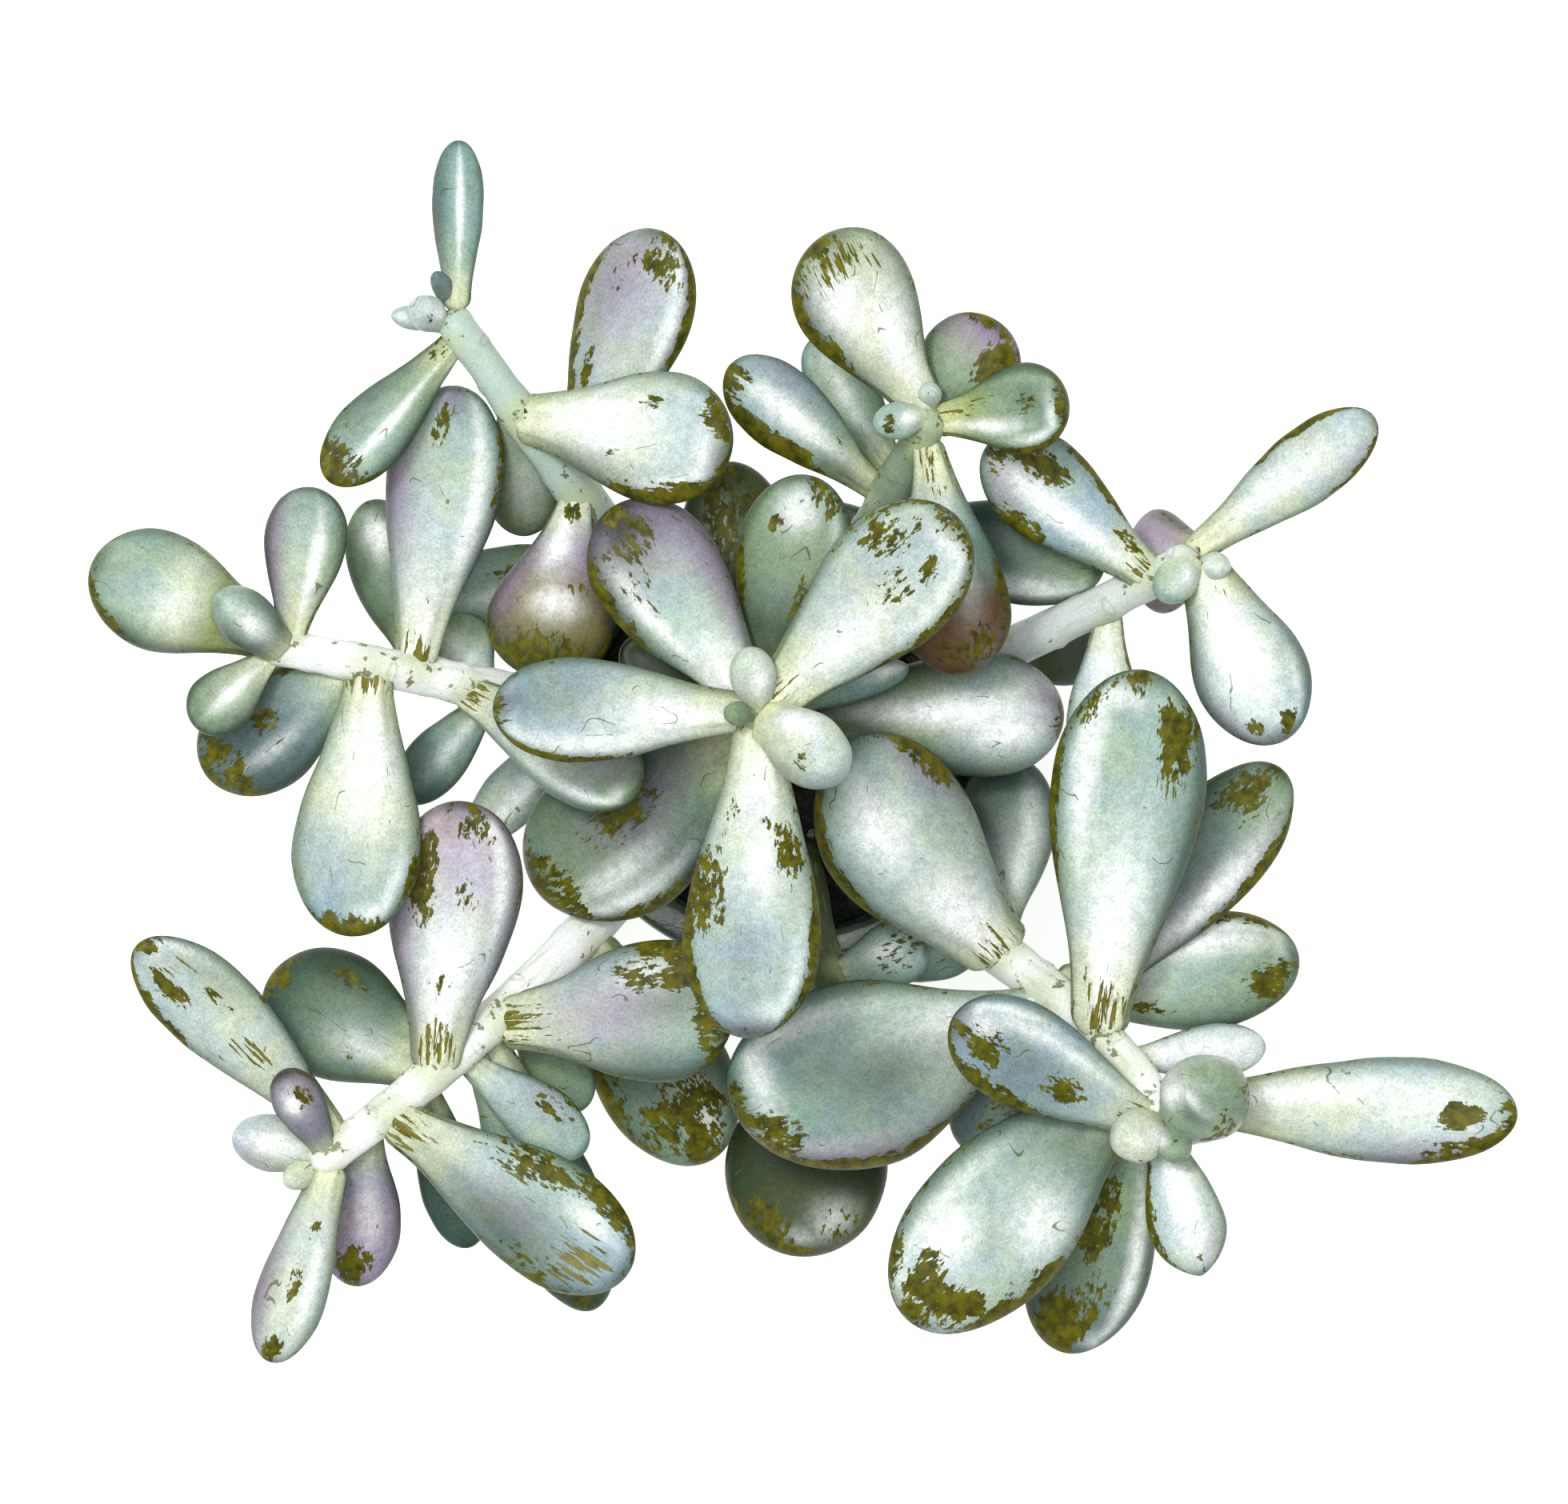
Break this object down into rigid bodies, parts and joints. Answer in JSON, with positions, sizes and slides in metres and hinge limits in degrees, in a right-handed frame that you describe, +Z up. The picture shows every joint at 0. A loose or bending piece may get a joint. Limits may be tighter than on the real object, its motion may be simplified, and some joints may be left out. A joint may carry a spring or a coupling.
{
  "type": "potted moonstones succulent",
  "caption": "Sprawling moonstone succulent with thick powdery paddle-shaped leaves on leafy stems, in a plain round pot filled with soil.",
  "frame": {"origin": "centre of the pot's underside, on the surface that the pot stands on", "axes": "+Z up along the pot's axis; +X towards the right and +Y towards the far side of the plant in its view from above"},
  "size_m": [0.2305, 0.1975, 0.1479],
  "materials": {
    "glazed_pot": "dark green-grey glaze, satin gloss, bare clay foot",
    "potting_soil": "dark crumbly gritty potting soil",
    "moonstone_leaf": "pale blue-green skin under a powdery white bloom, rubbed to olive along tips and edges"
  },
  "bodies": {
    "root": {"pot": "glazed_pot", "soil": "potting_soil", "centre_shoot": "moonstone_leaf", "far_left_shoot": "moonstone_leaf", "left_shoot": "moonstone_leaf", "far_right_shoot": "moonstone_leaf", "right_shoot": "moonstone_leaf", "near_right_shoot": "moonstone_leaf", "near_left_shoot": "moonstone_leaf", "near_shoot": "moonstone_leaf"}
  },
  "joints": []
}
